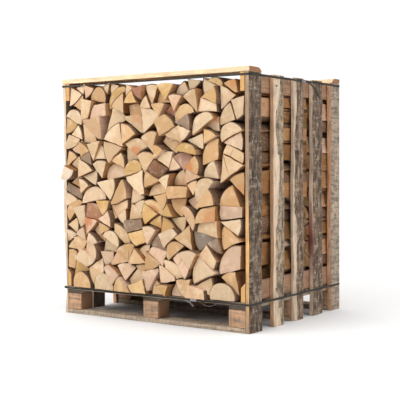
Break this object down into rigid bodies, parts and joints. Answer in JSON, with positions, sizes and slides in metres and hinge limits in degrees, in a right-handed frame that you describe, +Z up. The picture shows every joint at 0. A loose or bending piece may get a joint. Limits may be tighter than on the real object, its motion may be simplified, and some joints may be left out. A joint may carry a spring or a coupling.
{
  "type": "palletised firewood bundle",
  "caption": "Split firewood logs stacked on a wooden pallet between two slab-board side fences, closed on top by battens and tied round with straps.",
  "frame": {"origin": "middle of the footprint, on the ground under the pallet", "axes": "+X along the open front from the left fence to the right fence, +Y from the open front to the open back, +Z up"},
  "size_m": [1.0041, 0.88, 1.058],
  "materials": {
    "pallet_board": "rough-sawn, weathered grey-brown softwood",
    "pallet_block": "sawn softwood, growth rings on the ends",
    "slab": "weathered outside slabs with scraps of bark and waney edges",
    "rail": "sawn softwood, orange-brown on the cut ends",
    "batten": "fresh pale yellow sawn softwood with one waney corner",
    "billets": "split hardwood: sawn cream and tan ends, fibrous split faces, some bark",
    "strap": "embossed dark green-black polyester strapping",
    "seal": "crimped galvanised steel"
  },
  "bodies": {
    "root": {"bottom_board_front": "pallet_board", "bottom_board_middle": "pallet_board", "bottom_board_rear": "pallet_board", "block_front_left": "pallet_block", "block_front_centre": "pallet_block", "block_front_right": "pallet_block", "block_middle_left": "pallet_block", "block_middle_centre": "pallet_block", "block_middle_right": "pallet_block", "block_rear_left": "pallet_block", "block_rear_centre": "pallet_block", "block_rear_right": "pallet_block", "stringer_left": "pallet_board", "stringer_centre": "pallet_board", "stringer_right": "pallet_board", "deck_board_1": "pallet_board", "deck_board_2": "pallet_board", "deck_board_3": "pallet_board", "deck_board_4": "pallet_board", "deck_board_5": "pallet_board", "right_slab_1": "slab", "right_slab_2": "slab", "right_slab_3": "slab", "right_slab_4": "slab", "right_slab_5": "slab", "right_top_rail": "rail", "right_bottom_rail": "rail", "left_slab_1": "slab", "left_slab_2": "slab", "left_slab_3": "slab", "left_slab_4": "slab", "left_slab_5": "slab", "left_top_rail": "rail", "left_bottom_rail": "rail", "front_top_batten": "batten", "rear_top_batten": "batten", "top_strap": "strap", "bottom_strap": "strap", "top_strap_seal": "seal", "bottom_strap_seal": "seal", "logs_front_course_1": "billets", "logs_front_course_2": "billets", "logs_front_course_3": "billets", "logs_front_course_4": "billets", "logs_front_course_5": "billets", "logs_front_course_6": "billets", "logs_middle_course_1": "billets", "logs_middle_course_2": "billets", "logs_middle_course_3": "billets", "logs_middle_course_4": "billets", "logs_middle_course_5": "billets", "logs_middle_course_6": "billets", "logs_rear_course_1": "billets", "logs_rear_course_2": "billets", "logs_rear_course_3": "billets", "logs_rear_course_4": "billets", "logs_rear_course_5": "billets", "logs_rear_course_6": "billets"}
  },
  "joints": []
}
